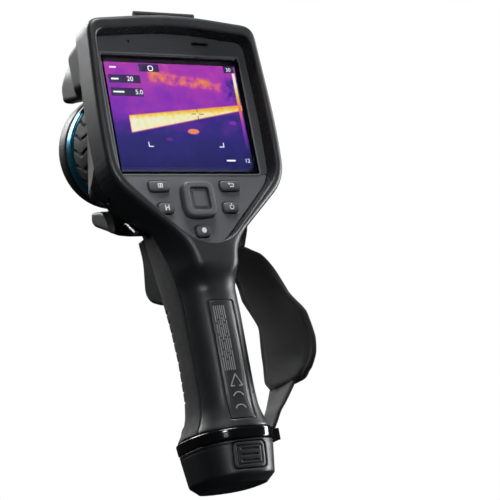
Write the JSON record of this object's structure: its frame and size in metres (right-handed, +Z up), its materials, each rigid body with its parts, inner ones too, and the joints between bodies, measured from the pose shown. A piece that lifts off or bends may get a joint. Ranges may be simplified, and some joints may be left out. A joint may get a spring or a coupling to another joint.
{
  "type": "thermal imaging camera",
  "caption": "Pistol-grip thermal imaging camera with a large tilted display, keypad, focus ring, trigger, battery handle and padded hand strap.",
  "frame": {"origin": "centre of the flat face under the battery cap", "axes": "+Z up along the handle, +X to the user's right, +Y forward on the lens side; the display faces -Y"},
  "size_m": [0.1112, 0.1216, 0.2785],
  "materials": {
    "shell": "satin dark grey moulded plastic with a fine spark texture",
    "dark": "matte black plastic",
    "rubber": "soft-touch overmould",
    "gloss": "polished black",
    "key": "satin key caps on a mid grey plate",
    "glass": "dark polished glass",
    "screen": "lit display",
    "blue": "anodised blue",
    "germanium": "coated infrared lens",
    "metal": "machined",
    "board": "solder mask",
    "battery": "moulded pack",
    "webbing": "woven nylon",
    "pad": "brushed textile over foam",
    "label": "printed plate"
  },
  "bodies": {
    "camera": {"rear_bezel": "shell", "handle_rear_shell": "shell", "front_grip": "rubber", "front_shell": "shell", "display_glass": "glass", "lcd_panel": "screen", "display_frame": "metal", "display_trim": "dark", "keypad_plate": "key", "main_board": "board", "board_screw_1": "metal", "board_screw_2": "metal", "board_screw_3": "metal", "board_screw_4": "metal", "speaker": "metal", "microphone": "metal", "detector_core": "metal", "lens_mount": "dark", "blue_ring": "blue", "front_ring": "dark", "face_plate": "dark", "lens_barrel": "metal", "lens_element": "germanium", "lamp_left": "glass", "range_window": "glass", "lamp_right": "glass", "sensor_window": "gloss", "laser_module": "metal", "visual_camera": "glass", "side_panel_left": "dark", "side_panel_right": "dark", "hatch_hinge": "rubber", "usb_port": "metal", "strap_bar_left": "metal", "strap_bar_right": "metal", "trigger_frame": "shell", "label_plate": "label", "collar_ring": "gloss", "grip_toe": "gloss", "battery_contacts": "metal", "strap_pad": "pad", "strap_upper_webbing": "webbing", "strap_lower_webbing": "webbing", "strap_buckle": "metal", "strap_lower_lug": "gloss"},
    "focus": {"focus_ring": "rubber"},
    "hatch": {"hatch_cover": "shell"},
    "battery": {"battery_cap": "shell", "battery_pack": "battery"},
    "latch_rear": {"battery_latch_rear": "shell"},
    "latch_front": {"battery_latch_front": "shell"},
    "gallery_key": {"gallery_button": "key"},
    "program_key": {"program_button": "key"},
    "back_key": {"back_button": "key"},
    "power_key": {"power_button": "key"},
    "record_key": {"record_button": "key"},
    "nav_pad": {"nav_ring": "key"},
    "nav_centre": {"nav_key": "key"},
    "trigger": {"trigger_pull": "shell"},
    "laser_trigger": {"trigger_key": "gloss"}
  },
  "joints": [
    {"name": "focus_turn", "type": "hinge", "parent": "camera", "child": "focus", "pos_m": [0, 0.0739, 0.2217], "axis": [0, 0.9511, 0.309], "range_deg": [-60, 60]},
    {"name": "hatch_open", "type": "hinge", "parent": "camera", "child": "hatch", "pos_m": [0, -0.018, 0.2687], "axis": [1, 0, 0], "range_deg": [0, 100]},
    {"name": "battery_slide", "type": "slide", "parent": "camera", "child": "battery", "axis": [0, 0, -1], "range_m": [0, 0.11]},
    {"name": "latch_rear_press", "type": "slide", "parent": "battery", "child": "latch_rear", "axis": [0, 1, 0], "range_m": [0, 0.0014], "stiffness_N_per_m": 600},
    {"name": "latch_front_press", "type": "slide", "parent": "battery", "child": "latch_front", "axis": [0, -1, 0], "range_m": [0, 0.0014], "stiffness_N_per_m": 600},
    {"name": "gallery_press", "type": "slide", "parent": "camera", "child": "gallery_key", "axis": [0, 1, 0], "range_m": [0, 0.0008], "stiffness_N_per_m": 400},
    {"name": "program_press", "type": "slide", "parent": "camera", "child": "program_key", "axis": [0, 1, 0], "range_m": [0, 0.0008], "stiffness_N_per_m": 400},
    {"name": "back_press", "type": "slide", "parent": "camera", "child": "back_key", "axis": [0, 1, 0], "range_m": [0, 0.0008], "stiffness_N_per_m": 400},
    {"name": "power_press", "type": "slide", "parent": "camera", "child": "power_key", "axis": [0, 1, 0], "range_m": [0, 0.0008], "stiffness_N_per_m": 400},
    {"name": "record_press", "type": "slide", "parent": "camera", "child": "record_key", "axis": [0, 1, 0], "range_m": [0, 0.0008], "stiffness_N_per_m": 400},
    {"name": "nav_pad_press", "type": "slide", "parent": "camera", "child": "nav_pad", "axis": [0, 1, 0], "range_m": [0, 0.0008], "stiffness_N_per_m": 500},
    {"name": "nav_centre_press", "type": "slide", "parent": "camera", "child": "nav_centre", "axis": [0, 1, 0], "range_m": [0, 0.0009], "stiffness_N_per_m": 400},
    {"name": "trigger_pull", "type": "slide", "parent": "camera", "child": "trigger", "axis": [0, -1, 0], "range_m": [0, 0.0045], "stiffness_N_per_m": 350},
    {"name": "laser_trigger_press", "type": "slide", "parent": "camera", "child": "laser_trigger", "axis": [0, -1, 0], "range_m": [0, 0.0012], "stiffness_N_per_m": 400}
  ]
}
